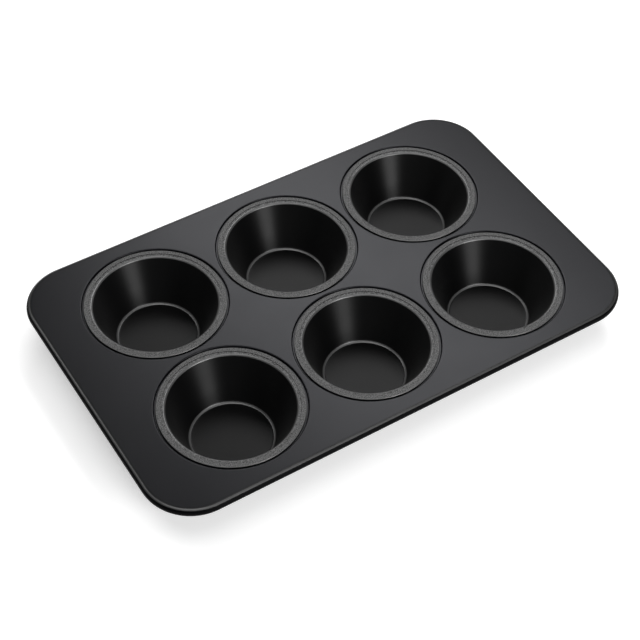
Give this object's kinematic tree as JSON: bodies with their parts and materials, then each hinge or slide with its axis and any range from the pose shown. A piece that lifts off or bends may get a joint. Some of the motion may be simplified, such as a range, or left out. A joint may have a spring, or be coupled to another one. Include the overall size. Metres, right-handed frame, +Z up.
{
  "type": "muffin pan",
  "caption": "Rectangular metal baking pan with tapered round cups set flush in a flat deck, and an edge rolled round a wire.",
  "frame": {"origin": "on the surface the pan stands on, under the middle of the pan", "axes": "+X along the long side towards the right-hand cups, +Y towards the back row, +Z up"},
  "size_m": [0.296, 0.1854, 0.0278],
  "materials": {
    "cup_coating": "satin dark non-stick coating on steel sheet",
    "deck_coating": "satin dark non-stick coating on steel sheet",
    "rim_wire": "bare drawn wire"
  },
  "bodies": {
    "root": {"cup_front_left": "cup_coating", "cup_front_middle": "cup_coating", "cup_front_right": "cup_coating", "cup_back_left": "cup_coating", "cup_back_middle": "cup_coating", "cup_back_right": "cup_coating", "deck": "deck_coating", "rim_wire": "rim_wire"}
  },
  "joints": []
}
